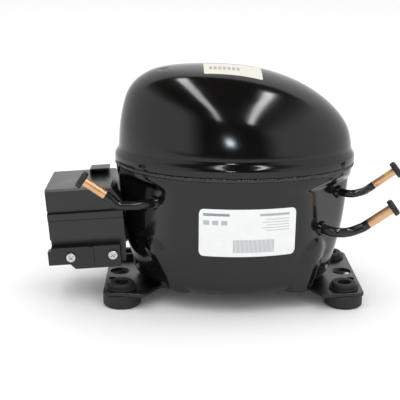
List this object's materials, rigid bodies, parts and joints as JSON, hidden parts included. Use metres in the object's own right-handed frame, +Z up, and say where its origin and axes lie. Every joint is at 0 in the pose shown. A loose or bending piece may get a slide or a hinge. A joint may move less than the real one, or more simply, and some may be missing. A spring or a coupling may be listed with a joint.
{
  "type": "hermetic reciprocating compressor",
  "caption": "Hermetic refrigerator compressor: welded oval steel shell on two foot plates with rubber grommets, side terminal box, capped copper tube stubs, motor and piston pump inside.",
  "frame": {"origin": "Centre of the 170 by 70 mm mounting pattern, on the floor plane under the four grommets.", "axes": "+Z up, +X along the long side of the feet towards the suction and discharge tubes, the terminal box on -X, the label side facing -Y."},
  "size_m": [0.27, 0.129, 0.179],
  "materials": {
    "black_painted_steel": "gloss",
    "steel": "satin",
    "copper": "satin",
    "cap_rubber": "matte",
    "grommet_rubber": "matte",
    "box_plastic": "matte",
    "zinc_screw": "satin",
    "glass": "gloss",
    "relay_plastic": "matte",
    "lamination": "satin",
    "winding": "satin",
    "aluminium": "satin",
    "cast_iron": "matte",
    "gasket": "matte",
    "spring_steel": "satin",
    "muffler_plastic": "matte"
  },
  "bodies": {
    "shell": {"upper_shell": "black_painted_steel", "lower_shell": "black_painted_steel", "weld_bead": "black_painted_steel", "base_plate_left": "black_painted_steel", "base_plate_right": "black_painted_steel", "suction_stub": "black_painted_steel", "discharge_stub": "black_painted_steel", "process_stub": "black_painted_steel", "suction_collar": "black_painted_steel", "discharge_collar": "black_painted_steel", "process_collar": "black_painted_steel", "suction_copper": "copper", "discharge_copper": "copper", "process_copper": "copper", "grommet_1": "grommet_rubber", "grommet_2": "grommet_rubber", "grommet_3": "grommet_rubber", "grommet_4": "grommet_rubber", "terminal_body": "steel", "terminal_glass": "glass", "terminal_pins": "steel", "start_relay": "relay_plastic", "overload_protector": "relay_plastic", "spring_seats": "gasket", "suspension_springs": "spring_steel"},
    "kit": {"stator_core": "lamination", "winding_bottom": "winding", "winding_top": "winding", "stator_bolts": "steel", "cylinder_block": "cast_iron", "thrust_washer": "spring_steel", "head_gasket": "gasket", "valve_plate": "steel", "cylinder_head": "aluminium", "head_bolts": "steel", "suction_muffler": "muffler_plastic", "spring_caps": "gasket", "discharge_loop": "copper"},
    "crank": {"crankshaft": "cast_iron", "rotor_core": "lamination", "rotor_ring_bottom": "aluminium", "rotor_ring_top": "aluminium", "oil_pickup": "steel"},
    "rod": {"connecting_rod": "aluminium"},
    "piston": {"piston": "steel", "wrist_pin": "spring_steel"},
    "suction_leaf": {"suction_reed": "spring_steel"},
    "discharge_leaf": {"discharge_reed": "spring_steel"},
    "box": {"terminal_box": "box_plastic", "cable_clamp": "box_plastic", "clamp_screws": "zinc_screw"},
    "suction_plug": {"suction_cap": "cap_rubber"},
    "discharge_plug": {"discharge_cap": "cap_rubber"},
    "process_plug": {"process_cap": "cap_rubber"}
  },
  "joints": [
    {"name": "suspension_bounce", "type": "slide", "parent": "shell", "child": "kit", "axis": [0, 0, 1], "range_m": [-0.0015, 0.0015], "stiffness_N_per_m": 20000, "springref_m": 0.00164, "deforming": ["suspension_springs", "discharge_loop"]},
    {"name": "crank_turn", "type": "hinge", "parent": "kit", "child": "crank", "pos_m": [0.0055, 0, 0.09], "axis": [0, 0, 1], "range_deg": [0, 90]},
    {"name": "piston_stroke", "type": "slide", "parent": "kit", "child": "piston", "axis": [-1, 0, 0], "range_m": [0, 0.0088]},
    {"name": "rod_swing", "type": "hinge", "parent": "piston", "child": "rod", "pos_m": [-0.03958, 0, 0.118], "axis": [0, 0, 1], "range_deg": [-10.3, 0]},
    {"name": "suction_reed_lift", "type": "hinge", "parent": "kit", "child": "suction_leaf", "pos_m": [-0.06003, 0, 0.1265], "axis": [0, -1, 0], "range_deg": [0, 1.1]},
    {"name": "discharge_reed_lift", "type": "hinge", "parent": "kit", "child": "discharge_leaf", "pos_m": [-0.0634, 0, 0.1265], "axis": [0, 1, 0], "range_deg": [0, 2.6]},
    {"name": "box_pull_off", "type": "slide", "parent": "shell", "child": "box", "axis": [-1, 0, 0], "range_m": [0, 0.05]},
    {"name": "suction_cap_pull_off", "type": "slide", "parent": "shell", "child": "suction_plug", "axis": [0.8178, 0, 0.5755], "range_m": [0, 0.012]},
    {"name": "discharge_cap_pull_off", "type": "slide", "parent": "shell", "child": "discharge_plug", "axis": [0.8078, 0, 0.5895], "range_m": [0, 0.012]},
    {"name": "process_cap_pull_off", "type": "slide", "parent": "shell", "child": "process_plug", "axis": [-0.8234, 0, 0.5675], "range_m": [0, 0.012]}
  ],
  "couplings": [
    {"joint": "piston_stroke", "follows": "crank_turn", "m_per_rad": 0.0055956},
    {"joint": "rod_swing", "follows": "crank_turn", "ratio": -0.11291}
  ]
}
